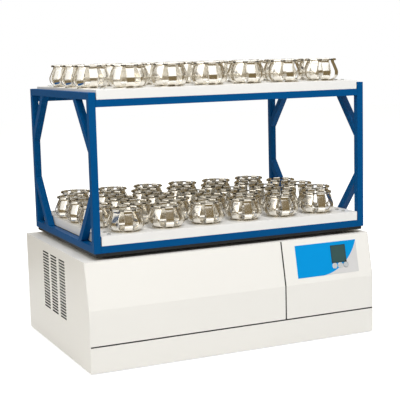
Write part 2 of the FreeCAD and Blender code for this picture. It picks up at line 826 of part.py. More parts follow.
def pulley_profile(bore, radius):
    """Half section of a plain pulley with a lip at each edge."""
    rim = radius + " + {pulley_rim}"
    return [(bore, "0"), (rim, "0"), (rim, "{pulley_lip}"), (radius, "{pulley_lip}"),
            (radius, "{pulley_face} - {pulley_lip}"), (rim, "{pulley_face} - {pulley_lip}"),
            (rim, "{pulley_face}"), (bore, "{pulley_face}")]


def pulleys():
    section = pulley_profile("{main_shaft_radius} + {running_gap}", "{main_pulley_radius}")
    main = turned("main_wheel", section, ["0", "{shaft_y}", "{pulley_low}"])
    inner = "{main_pulley_radius} - {pulley_rim_depth}"
    web_low = "({pulley_face} / 2 - {pulley_web} / 2)"
    web_high = "({pulley_face} / 2 + {pulley_web} / 2)"
    dishes = [("lower_dish", "-{pulley_lip}", web_low), ("upper_dish", web_high, "2 * {pulley_face}")]
    for name, low, high in dishes:
        hollow = rectangle("{pulley_hub_radius}", low, inner, high)
        outline = sketch(main, name + "_outline", "XZ", "0", [hollow])
        dish = main.newObject("PartDesign::Groove", name)
        dish.Profile = outline
        dish.ReferenceAxis = (outline, ["V_Axis"])
        dish.Angle = 360
    node(main, "main_pulley")
    small = pulley_profile("0", "{motor_pulley_radius}")
    shaft_low = "-{motor_drop} - {motor_plate_sheet} - {motor_length} / 4"
    small[0] = ("{motor_shaft_radius}", "0")
    small.insert(0, ("{motor_shaft_radius}", shaft_low))
    small.insert(0, ("0", shaft_low))
    node(turned("motor_wheel", small, ["{motor_x}", "{shaft_y}", "{pulley_low}"]), "motor_pulley")


def belt_loop(main_radius, motor_radius):
    """Face inside a belt line: two arcs and the straight runs that touch both."""
    far = -size("motor_x")
    lean = math.asin((main_radius - motor_radius) / far)
    side = FreeCAD.Vector(-math.sin(lean), math.cos(lean), 0)
    mirror = FreeCAD.Vector(side.x, -side.y, 0)
    motor = FreeCAD.Vector(-far, 0, 0)
    main_arc = Part.Arc(side * main_radius, FreeCAD.Vector(main_radius, 0, 0), mirror * main_radius)
    motor_arc = Part.Arc(motor + side * motor_radius, motor - FreeCAD.Vector(motor_radius, 0, 0),
                         motor + mirror * motor_radius)
    upper = Part.makeLine(side * main_radius, motor + side * motor_radius)
    lower = Part.makeLine(mirror * main_radius, motor + mirror * motor_radius)
    return Part.Face(Part.Wire(Part.sortEdges([main_arc.toShape(), upper, motor_arc.toShape(), lower])[0]))


def belt():
    gap = size("seat_gap")
    inner = belt_loop(size("main_pulley_radius") + gap, size("motor_pulley_radius") + gap)
    thick = gap + size("belt_sheet")
    outer = belt_loop(size("main_pulley_radius") + thick, size("motor_pulley_radius") + thick)
    wide = size("pulley_face") - 2 * size("pulley_lip") - 2 * gap
    solid = outer.cut(inner).extrude(FreeCAD.Vector(0, 0, wide))
    place = at(0, size("shaft_y"), size("pulley_low") + size("pulley_lip") + gap)
    node(feature("belt", solid, place), "drive_belt")


def motor():
    plate_top = "({pulley_low} - {motor_drop})"
    well = "({motor_length} / 4)"
    bore = "{motor_shaft_radius} + {running_gap}"
    low = minus("{motor_length}")
    floor = minus(well) + " - {seat_gap}"
    corners = [("0", low), ("{motor_radius}", low), ("{motor_radius}", "0"), (bore, "0"), (bore, floor),
               ("0", floor)]
    place = ["{motor_x}", "{shaft_y}", plate_top + " - {motor_plate_sheet}"]
    node(turned("motor_case", corners, place), "drive_motor")
    blank = box("motor_plate_blank", ["{motor_plate_front} + {motor_plate_rear}", "2 * {motor_plate_half}",
                                      "{motor_plate_sheet}"],
                ["{motor_x} - {motor_plate_front}", "{shaft_y} - {motor_plate_half}",
                 plate_top + " - {motor_plate_sheet}"])
    opening = cylinder("motor_plate_opening", "2 * {motor_shaft_radius}", "3 * {motor_plate_sheet}",
                       ["{motor_x}", "{shaft_y}", plate_top + " - 2 * {motor_plate_sheet}"])
    parts = [cut("motor_shelf", blank, opening)]
    for i, (x, y) in enumerate([(" - {motor_post_far}", " - "), (" + {motor_post_x}", " - "),
                                (" + {motor_post_x}", " + "), (" - {motor_post_far}", " + ")]):
        foot = ["{motor_x}" + x, "{shaft_y}" + y + "{motor_post_y}", plate_top]
        tall = DECK_LOW + " - " + plate_top
        parts.append(cylinder("motor_post_%d" % i, "{motor_post_radius}", tall, foot))
    node(group("motor_mount_parts", parts), "motor_mount")


# Moving platform

def table():
    blank = box("table_blank", ["{frame_length} - 2 * {table_inset}", "{frame_depth} - 2 * {table_inset}",
                                "{table_sheet}"],
                [FRAME_LEFT + " + {table_inset}", FRAME_FRONT + " + {table_inset}", TABLE_LOW])
    low = TABLE_LOW + " - {table_sheet}"
    tall = "3 * {table_sheet}"
    holes = [cylinder("table_opening", "{main_pin_radius} + {table_hole_gap}", tall,
                      ["{crank_radius}", "{shaft_y}", low])]
    for i, (side_x, side_y) in enumerate(IDLER_SIDES):
        place = [side_x + IDLER_X + " + {crank_radius}", "{shaft_y}" + side_y + IDLER_Y, low]
        holes.append(cylinder("table_opening_%d" % i, "{idler_pin_radius} + {table_hole_gap}", tall, place))
    node(cut("table", blank, group("table_openings", holes)), "drive_table")
    main = turned("main_ring", ring("{main_pin_radius} + {running_gap}", "{table_housing_main}"),
                  ["{crank_radius}", "{shaft_y}", FRAME_LOW])
    idler = turned("idler_ring", ring("{idler_pin_radius} + {loop_gap}", "{table_housing_idler}"),
                   ["{crank_radius}", "0", FRAME_LOW])
    doc.recompute()
    four = copies("idler_rings", idler, [at(x, y, 0) for x, y in idler_places()])
    node(group("table_rings", [main, four]), "table_bearings")


def ring(bore, outer):
    return rectangle(bore, "0", outer, "{table_housing_tall}")


def tube(name, sizes, corner, along, closed=False):
    """Square tube along one axis, open at its ends, or closed at the top."""
    outer = box(name + "_outside", sizes, corner)
    inner_sizes = []
    inner_corner = []
    for axis in range(3):
        if axis == along:
            inner_sizes.append(sizes[axis] + (" - {tube_wall}" if closed else ""))
            inner_corner.append(corner[axis])
        else:
            inner_sizes.append(sizes[axis] + " - 2 * {tube_wall}")
            inner_corner.append(corner[axis] + " + {tube_wall}")
    return cut(name, outer, box(name + "_inside", inner_sizes, inner_corner))


def frame_tubes():
    side = "{tube}"
    right = FRAME_RIGHT + " - {tube}"
    back = FRAME_BACK + " - {tube}"
    posts = []
    corners = [(FRAME_LEFT, FRAME_FRONT), (right, FRAME_FRONT), (right, back), (FRAME_LEFT, back)]
    for i, (x, y) in enumerate(corners):
        posts.append(tube("post_%d" % i, [side, side, "{frame_tall}"], [x, y, FRAME_LOW], 2, closed=True))
    node(group("posts", posts), "corner_posts")
    long_rails = [("lower_long_rails", FRAME_LOW), ("upper_long_rails", FRAME_TOP + " - 2 * {tube}")]
    for label, z in long_rails:
        pair = [tube(label + end, [BETWEEN_POSTS_X, side, side], [FRAME_LEFT + " + {tube}", y, z], 0)
                for end, y in (("_front", FRAME_FRONT), ("_rear", back))]
        node(group(label + "_pair", pair), label)
    end_rails = [("lower_end_rails", FRAME_LOW), ("upper_end_rails", FRAME_TOP + " - {tube}")]
    for label, z in end_rails:
        pair = [tube(label + end, [side, BETWEEN_POSTS_Y, side], [x, FRAME_FRONT + " + {tube}", z], 1)
                for end, x in (("_left", FRAME_LEFT), ("_right", right))]
        node(group(label + "_pair", pair), label)


def brace_outline(half, side_y, level, side_z):
    """Tube with its ends cut to fit an upright post and a level rail; half is half its thickness."""
    long = "sqrt({brace_run}^2 + {brace_rise}^2)"
    post = "{shaft_y} " + side_y + " ({frame_depth} / 2 - {tube}"
    across = half + " * " + long + " / {brace_rise}"
    along = half + " * " + long + " / {brace_run}"
    rise = " " + side_z + " ({brace_rise}"
    return [(post + ")", level + rise + " - " + along + ")"),
            (post + " - {brace_run} + " + across + ")", level),
            (post + " - {brace_run} - " + across + ")", level),
            (post + ")", level + rise + " + " + along + ")")]


def braces():
    solids = []
    corners = []
    for side_y in ("+", "-"):
        corners.append((side_y, "(" + FRAME_TOP + " - {tube})", "-"))
        corners.append((side_y, "(" + FRAME_LOW + " + {tube})", "+"))
    for end, x in (("left", FRAME_LEFT), ("right", FRAME_RIGHT + " - {tube}")):
        for i, (side_y, level, side_z) in enumerate(corners):
            name = "brace_%s_%d" % (end, i)
            solid = pad(name, "YZ", x, [brace_outline("({tube} / 2)", side_y, level, side_z)], "{tube}")
            inside = pad(name + "_inside", "YZ", x + " + {tube_wall}",
                         [brace_outline("({tube} / 2 - {tube_wall})", side_y, level, side_z)],
                         "{tube} - 2 * {tube_wall}")
            solids.append(cut(name + "_tube", solid, inside))
    node(group("braces", solids), "end_braces")


def tray(label, level):
    """Folded sheet pan, open below, that stands on the front and rear rails."""
    outside = rectangle(TRAY_LEFT, FRAME_FRONT, TRAY_RIGHT, FRAME_BACK)
    owner = pad(label + "_pan", "XY", level, [outside], "{tray_tall}")
    skin = "{tray_sheet}"
    inside = rectangle(TRAY_LEFT + " + " + skin, FRAME_FRONT + " + " + skin,
                       TRAY_RIGHT + " - " + skin, FRAME_BACK + " - " + skin)
    pocket(owner, label + "_hollow", "XY", level, [inside], "{tray_tall} - {tray_sheet}")
    return node(owner, label)


def finger_leg(name, low, high):
    """One straight leg of a finger between two corners of its outer line, given as radius and height."""
    skin = " - {finger_sheet}"
    corners = [low, high, (high[0] + skin, high[1]), (low[0] + skin, low[1])]
    return pad(name, "XZ", "0", [corners], "{finger_width}", middle=True)


def clamp_parts():
    """One clamp: a base disc, and the two legs of a finger that stands on its rim and bends at the bulge."""
    disc = prism("clamp_disc", count("finger_count"), "{clamp_disc_radius}", "{clamp_disc_sheet}",
                 ["0", "0", "0"])
    foot = ("{finger_foot}", "{clamp_disc_sheet}")
    bulge = ("{bulge_radius}", "{clamp_disc_sheet} + {bulge_up}")
    neck = ("{neck_radius}", "{clamp_disc_sheet} + {finger_tall}")
    return disc, [finger_leg("finger_lower_leg", foot, bulge), finger_leg("finger_upper_leg", bulge, neck)]


def row_shift(deck_name, row):
    """How far a row is set off from the middle of the tray; only the first and the last row are."""
    if row not in (0, count("row_count") - 1):
        return 0
    if deck_name == "upper" and row == 0:
        return size("upper_front_row_shift")
    return size("end_row_shift")


def clamp_row(label, row, shift, level, disc, legs):
    middle = (count("row_count") - 1) / 2
    y = size("shaft_y") + (row - middle) * size("row_pitch")
    ends = row in (0, count("row_count") - 1)
    number = count("end_row_clamp_count") if ends else count("middle_row_clamp_count")
    pitch = size("end_row_pitch") if ends else size("middle_row_pitch")
    fingers = count("finger_count")
    step = 360 / fingers
    turn = size("finger_turn")
    solids = []
    for i in range(number):
        x = size("crank_radius") + shift + (i - (number - 1) / 2) * pitch
        plate = disc.Shape.copy()
        plate.Placement = at(x, y, level, turn + step / 2)
        solids.append(plate)
        for k in range(fingers):
            for leg in legs:
                solid = leg.Shape.copy()
                solid.Placement = at(x, y, level, turn + k * step)
                solids.append(solid)
    node(feature(label + "_solids", Part.makeCompound(solids)), label)


def decks():
    frame_low = size("base_top") + size("table_gap") + size("table_sheet")
    levels = {"lower": (frame_low + size("tube"), "(" + FRAME_LOW + " + {tube})"),
              "upper": (frame_low + size("frame_tall") - size("tube"), "(" + FRAME_TOP + " - {tube})")}
    disc, legs = clamp_parts()
    heads = []
    for deck_name, (height, level) in levels.items():
        tray(deck_name + "_tray", level)
        left = TRAY_LEFT + " + {screw_inset_x}"
        right = TRAY_RIGHT + " - {screw_inset_x}"
        for i, (side_x, side_y) in enumerate([(left, "-"), (right, "-"), (right, "+"), (left, "+")]):
            for k, step in enumerate(("", " - {screw_pitch}")):
                inset_y = " ({frame_depth} / 2 - {screw_inset_y}" + step + ")"
                place = [side_x, "{shaft_y} " + side_y + inset_y, level + " + {tray_tall}"]
                name = "%s_head_%d_%d" % (deck_name, i, k)
                heads.append(prism(name, 6, "{screw_radius}", "{screw_head}", place))
    node(group("heads", heads), "tray_screws")
    doc.recompute()
    for deck_name, (height, level) in levels.items():
        for row in range(count("row_count")):
            label = "%s_clamps_row_%d" % (deck_name, row + 1)
            clamp_row(label, row, row_shift(deck_name, row), height + size("tray_tall"), disc, legs)


def check_document():
    faults = []
    for item in doc.Objects:
        if "Invalid" in item.State or "Error" in item.State:
            faults.append("%s is %s" % (item.Name, item.State))
    for item in nodes:
        if item.Shape.isNull() or not item.Shape.isValid() or not item.Shape.Solids:
            faults.append("%s has no valid solid" % item.Label)
    if faults:
        raise RuntimeError("; ".join(faults))


def export_nodes():
    os.makedirs("parts", exist_ok=True)
    for item in nodes:
        item.Shape.exportStep("parts/%s.step" % item.Label)


fill_sheet([HOUSING, VENTS, CONTROLS, DRIVE, POWER, FRAME, CLAMPS])
housing()
overlay()
display()
buttons()
control_board()
power_entry()
cover_screws()
deck()
cranks()
pulleys()
belt()
motor()
table()
frame_tubes()
braces()
decks()
doc.recompute()
check_document()
export_nodes()
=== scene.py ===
import math

import bpy
from mathutils import Matrix, Vector


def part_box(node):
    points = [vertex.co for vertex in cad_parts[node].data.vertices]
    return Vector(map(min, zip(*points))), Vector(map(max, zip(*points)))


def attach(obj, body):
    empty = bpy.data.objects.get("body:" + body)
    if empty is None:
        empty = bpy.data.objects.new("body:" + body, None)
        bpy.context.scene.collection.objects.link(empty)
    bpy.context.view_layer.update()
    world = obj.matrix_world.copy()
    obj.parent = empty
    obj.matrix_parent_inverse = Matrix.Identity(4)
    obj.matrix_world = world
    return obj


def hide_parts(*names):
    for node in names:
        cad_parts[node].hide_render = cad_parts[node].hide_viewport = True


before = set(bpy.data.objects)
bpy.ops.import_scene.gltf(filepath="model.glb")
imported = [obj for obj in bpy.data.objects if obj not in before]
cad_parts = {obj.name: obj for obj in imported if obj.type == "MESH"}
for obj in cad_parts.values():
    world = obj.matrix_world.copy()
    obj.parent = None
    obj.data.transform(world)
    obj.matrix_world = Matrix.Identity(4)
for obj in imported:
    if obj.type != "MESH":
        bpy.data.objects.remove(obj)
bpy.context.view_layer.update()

bl_info = {
    "name": "Double-deck shaker",
    "version": (1, 0, 0),
    "blender": (4, 5, 0),
    "location": "View3D > Sidebar > Shaker",
    "description": "Finishes, flask clamps, control panel and stage for an orbital shaker",
    "category": "Object",
}

MM = 0.001
SENSOR_WIDTH = 36


def linear(text):
    """Linear colour of an sRGB hex value."""
    values = [int(text[i:i + 2], 16) / 255 for i in (1, 3, 5)]
    return tuple(v / 12.92 if v <= 0.04045 else ((v + 0.055) / 1.055) ** 2.4 for v in values)


# Settings that a user would change

def length(name, description, default):
    return bpy.props.FloatProperty(name=name, description=description, default=default * MM,
                                   unit="LENGTH", subtype="DISTANCE", precision=4)


def angle(name, description, degrees):
    return bpy.props.FloatProperty(name=name, description=description,
                                   default=math.radians(degrees), subtype="ANGLE")


def colour(name, description, default):
    return bpy.props.FloatVectorProperty(name=name, description=description,
                                         default=linear(default), subtype="COLOR", min=0, max=1)


class ShakerColours(bpy.types.PropertyGroup):
    """Colours of the finishes."""
    housing: colour("Housing", "Powder coat of the housing's covers", "#f2f0eb")
    # Painted shade: the inner faces are near black for the shade inside the housing.
    inside: colour("Inside", "Primer on the covers' inner faces", "#1b1b1a")
    tray: colour("Trays", "Powder coat of the two trays", "#f1f0ee")
    tubes: colour("Frame", "Powder coat of the square tubes", "#004f88")
    # Partly painted shade: the plate is near black for the shadow in the gap under the frame.
    table: colour("Table", "Enamel of the plate below the frame", "#171a1b")
    blue_film: colour("Blue film", "Larger field of the control panel", "#0095dc")
    grey_film: colour("Grey film", "Smaller field of the control panel", "#dad9d9")
    display: colour("Display", "Unlit display", "#3a5656")


class ClampSizes(bpy.types.PropertyGroup):
    """Sizes of one flask clamp."""
    finger_width: length("Finger width", "Width of a finger", 28)
    sheet: length("Sheet", "Thickness of the sprung sheet", 1.2)
    disc_radius: length("Disc radius", "Radius of the plate that carries the fingers", 52.5)
    disc_sheet: length("Disc sheet", "Thickness of that plate", 3)
    foot_radius: length("Foot radius", "Radius at which a finger lifts off its disc", 36)
    bulge_radius: length("Bulge radius", "Outer radius where the clamp is widest", 66)
    bulge_up: length("Bulge height", "Height of the bulge above the tray", 35)
    neck_radius: length("Neck radius", "Outer radius of the fingers below the lip", 50)
    roll: length("Lip roll", "Inner radius of the lip that is rolled over the spring", 3.5)
    tall: length("Height", "Height of the lip above the tray", 82.8)
    spring: length("Spring", "Radius of the coil of the ring spring", 2.9)
    fingers: bpy.props.IntProperty(name="Fingers", description="Fingers of one clamp",
                                   default=8, min=3)
    turn: angle("Turn", "Turn of a clamp about its screw", -11)


class CameraPlace(bpy.types.PropertyGroup):
    """Where the camera stands and how it is turned."""
    position: bpy.props.FloatVectorProperty(name="Position", description="Place of the camera",
                                            default=(-1.65525, -3.66329, 1.06978),
                                            subtype="TRANSLATION", unit="LENGTH")
    heading: angle("Heading", "Turn to the right of the depth axis", 24.6313)
    tilt: angle("Tilt", "Angle below the level", 7.8661)
    roll: angle("Roll", "Turn about the line of sight", -1.453)
    lens: bpy.props.FloatProperty(name="Lens", description="Focal length on a 36 mm sensor",
                                  default=94.06, min=10, unit="CAMERA")


# Nodes and materials

def add(tree, kind, inputs=None, **settings):
    """Adds one node; an input is a value or the output of another node."""
    item = tree.nodes.new(kind)
    for name, value in settings.items():
        setattr(item, name, value)
    for name, value in (inputs or {}).items():
        if isinstance(value, bpy.types.NodeSocket):
            tree.links.new(value, item.inputs[name])
        else:
            item.inputs[name].default_value = value
    return item


def empty_tree(item):
    """The cleared node tree of a material or a world."""
    item.use_nodes = True
    item.node_tree.nodes.clear()
    return item.node_tree


ROUGH_SPAN = 0.08
COAT_ROUGHNESS = 0.12


def finish_surface(name, tone, roughness, grain, depth, patch, patch_tone, metallic=0.0,
                   stretch=(1, 1, 1), coat=0.0, specular=0.5):
    """A material whose grain and patches are sized in millimetres on the object."""
    item = bpy.data.materials.new(name)
    tree = empty_tree(item)
    place = add(tree, "ShaderNodeTexCoord").outputs["Object"]
    grain_place = add(tree, "ShaderNodeMapping", {"Vector": place, "Scale": stretch}).outputs[0]
    fine = add(tree, "ShaderNodeTexNoise", {
        "Vector": grain_place, "Scale": 1 / (grain * MM), "Detail": 3.0, "Roughness": 0.6})
    broad = add(tree, "ShaderNodeTexNoise", {
        "Vector": place, "Scale": 1 / (patch * MM), "Detail": 2.0})
    dark = tuple(v * (1 - patch_tone) for v in tone) + (1.0,)
    light = tuple(min(1.0, v * (1 + patch_tone)) for v in tone) + (1.0,)
    mixed = add(tree, "ShaderNodeMix", {"Factor": broad.outputs["Fac"], "A": dark, "B": light},
                data_type="RGBA")
    rough = add(tree, "ShaderNodeMapRange", {
        "Value": fine.outputs["Fac"], "To Min": roughness - ROUGH_SPAN / 2,
        "To Max": roughness + ROUGH_SPAN / 2})
    bump = add(tree, "ShaderNodeBump", {
        "Height": fine.outputs["Fac"], "Strength": depth, "Distance": 1 * MM})
    shader = add(tree, "ShaderNodeBsdfPrincipled", {
        "Base Color": mixed.outputs["Result"], "Metallic": metallic,
        "Roughness": rough.outputs["Result"], "Normal": bump.outputs["Normal"],
        "Coat Weight": coat, "Coat Roughness": COAT_ROUGHNESS, "Specular IOR Level": specular})
    add(tree, "ShaderNodeOutputMaterial", {"Surface": shader.outputs["BSDF"]})
    return item


def paint_inside_shade(item, tone):
    """Paints shade inside the housing: faces that look towards its middle get another colour, the
    dark of the shade there.
    """
    tree = item.node_tree
    shader = next(node for node in tree.nodes if node.type == "BSDF_PRINCIPLED")
    outside = shader.inputs["Base Color"].links[0].from_socket
    low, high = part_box("left_side_panel")
    middle = (0, (low[1] + high[1]) / 2, (low[2] + high[2]) / 2)
    face = add(tree, "ShaderNodeNewGeometry")
    out = add(tree, "ShaderNodeVectorMath", {0: face.outputs["Position"], 1: middle},
              operation="SUBTRACT")
    along = add(tree, "ShaderNodeVectorMath", {0: out.outputs[0], 1: face.outputs["True Normal"]},
                operation="DOT_PRODUCT")
    inward = add(tree, "ShaderNodeMath", {0: along.outputs["Value"], 1: 0.0},
                 operation="LESS_THAN")
    mixed = add(tree, "ShaderNodeMix", {
        "Factor": inward.outputs[0], "A": outside, "B": tuple(tone) + (1.0,)}, data_type="RGBA")
    tree.links.new(mixed.outputs["Result"], shader.inputs["Base Color"])


# A tone is a hex value or the name of one of the ShakerColours; grain and patch are millimetres.
FINISHES = {
    # Baked polyester powder on folded sheet: satin, with a faint orange peel about 3 mm from
    # bump to bump. The inner faces get painted shade, near black, so that the vents look black.
    "powder_coated_housing_steel": dict(
        tone="housing", roughness=0.42, grain=3.0, depth=0.05, patch=400, patch_tone=0.012),
    # The same coat, a little glossier where the trays are wiped.
    "powder_coated_tray_steel": dict(
        tone="tray", roughness=0.34, grain=3.0, depth=0.05, patch=300, patch_tone=0.012),
    # Blue powder on square tube: satin, with an orange peel, its tone varying a little in broad
    # patches.
    "powder_coated_frame_tube": dict(
        tone="tubes", roughness=0.36, grain=3.0, depth=0.08, patch=160, patch_tone=0.06,
        specular=0.07),
    # Brushed-on enamel over hot-rolled plate: dull, with broad cloudy patches.
    # Its near-black is partly painted shade for the gap under the frame.
    "black_enamelled_plate": dict(
        tone="table", roughness=0.48, grain=5.0, depth=0.12, patch=120, patch_tone=0.15),
    # Cold-rolled strip: bright, with fine lines along each finger, drawn about 2 mm apart.
    "sprung_stainless_strip": dict(
        tone="#efebe2", metallic=1.0, roughness=0.23, grain=2.0, depth=0.03, patch=30,
        patch_tone=0.05, stretch=(1, 1, 0.08)),
    # Drawn wire wound into a ring spring: greyer than the strip and a little duller; that dark
    # grey is painted shade under the lips.
    "stainless_spring_wire": dict(
        tone="#59554c", metallic=1.0, roughness=0.34, grain=3.0, depth=0.1, patch=12,
        patch_tone=0.12),
    # Bright zinc on turned heads: pale blue-grey, slightly cloudy.
    "zinc_plated_screw_steel": dict(
        tone="#cfd1d0", metallic=0.7, roughness=0.3, grain=2.0, depth=0.1, patch=8,
        patch_tone=0.1),
    # Cylindrically ground shafting: lines round the axis, drawn about 1.5 mm apart.
    "ground_crank_steel": dict(
        tone="#a6a8aa", metallic=1.0, roughness=0.26, grain=1.5, depth=0.1, patch=60,
        patch_tone=0.06, stretch=(0.1, 0.1, 1)),
    # Grey iron as cast and part machined: dark, open grain about 2 mm across.
    "machined_grey_iron": dict(
        tone="#4d4f50", metallic=0.85, roughness=0.55, grain=2.0, depth=0.35, patch=40,
        patch_tone=0.15),
    # Sand-cast then turned: pale, with a soft sparkle.
    "turned_cast_aluminium": dict(
        tone="#b6b8ba", metallic=1.0, roughness=0.4, grain=1.5, depth=0.2, patch=50,
        patch_tone=0.08, stretch=(0.15, 0.15, 1)),
    # Thick grey enamel on inner brackets and on the motor: half gloss with brush drag.
    "grey_machine_enamel": dict(
        tone="#565a5c", roughness=0.45, grain=5.0, depth=0.15, patch=90, patch_tone=0.1),
    # Charcoal on the carrier behind the covers is painted shade for the grooves between them:
    # dull, so the grooves read as dark lines.
    "dark_inner_enamel": dict(
        tone="#1f1e1b", roughness=0.6, grain=5.0, depth=0.1, patch=90, patch_tone=0.1),
    # Fabric-faced rubber: dull black with a weave about 1.5 mm apart.
    "neoprene_drive_belt": dict(
        tone="#1c1c1d", roughness=0.75, grain=1.5, depth=0.4, patch=30, patch_tone=0.2),
    # Moulded nitrile rubber: black with a dusty bloom.
    "moulded_foot_rubber": dict(
        tone="#232324", roughness=0.7, grain=2.5, depth=0.3, patch=20, patch_tone=0.25),
    # Black nylon from a spark-eroded mould: dull, about 1.5 mm in grain as drawn.
    "moulded_black_nylon": dict(
        tone="#1e1f21", roughness=0.5, grain=1.5, depth=0.2, patch=30, patch_tone=0.1),
    # Polyester film printed on its back: even colour under a smooth clear face.
    "printed_blue_polyester": dict(
        tone="blue_film", roughness=0.4, grain=2.0, depth=0.02, patch=90, patch_tone=0.02,
        specular=0.1),
    # The same film, pale grey and glossier.
    "printed_grey_polyester": dict(
        tone="grey_film", roughness=0.25, grain=2.0, depth=0.02, patch=90, patch_tone=0.02,
        coat=0.3),
    # Acrylic over an unlit liquid-crystal cell: grey-green, deep and glossy.
    "unlit_display_acrylic": dict(
        tone="display", roughness=0.12, grain=6.0, depth=0.01, patch=40, patch_tone=0.06,
        specular=0.35),
    # Ink round the display: nearly black, satin.
    "dark_display_print": dict(
        tone="#24302f", roughness=0.35, grain=2.0, depth=0.03, patch=20, patch_tone=0.08),
    # Smoked acrylic dome over an unlit lamp: black and glossy.
    "black_indicator_cap": dict(
        tone="#101211", roughness=0.15, grain=2.0, depth=0.01, patch=10, patch_tone=0.05),
    # Vacuum-metallised plastic cap: silver with a soft spread highlight.
    "metallised_button_abs": dict(
        tone="#dfe3e4", metallic=0.3, roughness=0.28, grain=1.5, depth=0.05, patch=12,
        patch_tone=0.06),
    # Pale moulded cap of the third button: smooth, with a clear gloss.
    "clear_ring_abs": dict(
        tone="#c3c8cb", roughness=0.25, grain=1.5, depth=0.03, patch=12, patch_tone=0.04,
        coat=0.3),
    # Moulded ring round that cap: mid grey, satin.
    "satin_grey_ring_abs": dict(
        tone="#84898c", roughness=0.35, grain=1.5, depth=0.04, patch=12, patch_tone=0.05),
    # Glass-epoxy board under green mask: woven lines about 2 mm apart as drawn.
    "solder_masked_board": dict(
        tone="#1f5b3a", roughness=0.35, grain=2.0, depth=0.15, patch=15, patch_tone=0.15),
}


def finish(name):
    """The material of that name, made when first asked for."""
    if name in bpy.data.materials:
        return bpy.data.materials[name]
    look = dict(FINISHES[name])
    tone = look.pop("tone")
    colours = bpy.context.scene.shaker_colours
    tone = linear(tone) if tone.startswith("#") else getattr(colours, tone)
    item = finish_surface(name, tone, **look)
    if name == "powder_coated_housing_steel":
        # Painted shade on the inner faces of the covers
        paint_inside_shade(item, colours.inside)
    return item


def dress(material, *nodes):
    """Gives carried-over nodes their finish."""
    for node in nodes:
        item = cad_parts[node]
        item.data.materials.clear()
        item.data.materials.append(finish(material))


def soften(radius, *nodes):
    """Rounds folded or drawn edges of nodes; their own meshes stay as they are."""
    for node in nodes:
        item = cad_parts[node]
        weld = item.modifiers.new("join_corners", "WELD")
        weld.merge_threshold = 0.02 * MM
        round_off = item.modifiers.new("edge_radius", "BEVEL")
        round_off.width = radius * MM
        round_off.segments = 2
        round_off.limit_method = "ANGLE"
        round_off.angle_limit = math.radians(35)
        round_off.harden_normals = True


# Meshes

def mesh_piece(name, shape, material, body, crisp=40):
    """A piece of the object, carried by a body; edges sharper than crisp degrees stay crisp."""
    points, faces = shape
    data = bpy.data.meshes.new(name)
    data.from_pydata([tuple(p) for p in points], [], faces)
    data.validate()
    data.polygons.foreach_set("use_smooth", [True] * len(data.polygons))
    data.materials.append(finish(material))
    data.set_sharp_from_angle(angle=math.radians(crisp))
    item = bpy.data.objects.new(name, data)
    bpy.context.scene.collection.objects.link(item)
    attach(item, body)
    return item


def join(shapes):
    """One set of points and faces from several."""
    points, faces = [], []
    for some, loops in shapes:
        start = len(points)
        points.extend(some)
        faces.extend(tuple(start + i for i in loop) for loop in loops)
    return points, faces


def moved(shape, matrix):
    """The shape carried through a matrix."""
    points, faces = shape
    return [matrix @ p for p in points], faces


def copies(shape, places):
    """One shape from a copy at each matrix."""
    return join([moved(shape, place) for place in places])


def lathe(profile, sides):
    """A turned surface from pairs of radius and height, closed where a radius is 0."""
    points, faces = [], []
    rows = []
    for radius, z in profile:
        if radius == 0:
            rows.append([len(points)] * sides)
            points.append(Vector((0, 0, z)))
            continue
        rows.append([len(points) + i for i in range(sides)])
        for i in range(sides):
            turn = 2 * math.pi * i / sides
            points.append(Vector((radius * math.cos(turn), radius * math.sin(turn), z)))
    for low, high in zip(rows, rows[1:]):
        for i in range(sides):
            j = (i + 1) % sides
            loop = [low[i], low[j], high[j], high[i]]
            faces.append(tuple(dict.fromkeys(loop)))
    return points, faces


def tube_loop(path, radii, sides=6):
    """A closed tube along a level loop of points; the radius may change from point to point."""
    points, faces = [], []
    count = len(path)
    up = Vector((0, 0, 1))
    for i, point in enumerate(path):
        along = (path[(i + 1) % count] - path[i - 1]).normalized()
        across = along.cross(up).normalized()
        for k in range(sides):
            turn = 2 * math.pi * k / sides
            offset = across * math.cos(turn) + up * math.sin(turn)
            points.append(point + offset * radii[i])
    for i in range(count):
        for k in range(sides):
            j, m = (i + 1) % count, (k + 1) % sides
            faces.append((i * sides + k, i * sides + m, j * sides + m, j * sides + k))
    return points, faces


def block(low, high):
    """A closed block between two corners."""
    corners = [Vector((x, y, z)) for z in (low[2], high[2])
               for y in (low[1], high[1]) for x in (low[0], high[0])]
    faces = [(0, 2, 3, 1), (4, 5, 7, 6), (0, 1, 5, 4), (2, 6, 7, 3), (0, 4, 6, 2), (1, 3, 7, 5)]
    return corners, faces


WASHER_SHARE = 1.35
WASHER_SHEET = 0.8 * MM
SOCKET_SHARE = 0.5


def screw_head(radius, tall, seat):
    """Domed head with a round socket, on a washer."""
    washer = WASHER_SHARE * radius
    low = seat + WASHER_SHEET
    socket = SOCKET_SHARE * radius
    top = low + tall
    return join([
        lathe([(0, seat), (washer, seat), (washer, low), (0, low)], 20),
        lathe([(radius, low), (radius, low + 0.45 * tall), (0.86 * radius, low + 0.8 * tall),
               (0.6 * radius, top), (socket, top)], 18),
        lathe([(socket, top), (socket, low + 0.45 * tall), (0, low + 0.4 * tall)], 18)])


# Flask clamps

CLAMP_ROWS = range(1, 6)
END_ROWS = (1, 5)
CLAMPS_IN_END_ROW = 6
CLAMPS_IN_MIDDLE_ROW = 7
CORNER_SHARE = 0.3
EDGE_SHARE = 0.35
CROWN_SHARE = 3.5
SPRING_REACH = 0.46
COIL_PITCH = 5 * MM
COIL_WAIST = 0.8
CLAMP_SCREW = (6 * MM, 3.6 * MM)


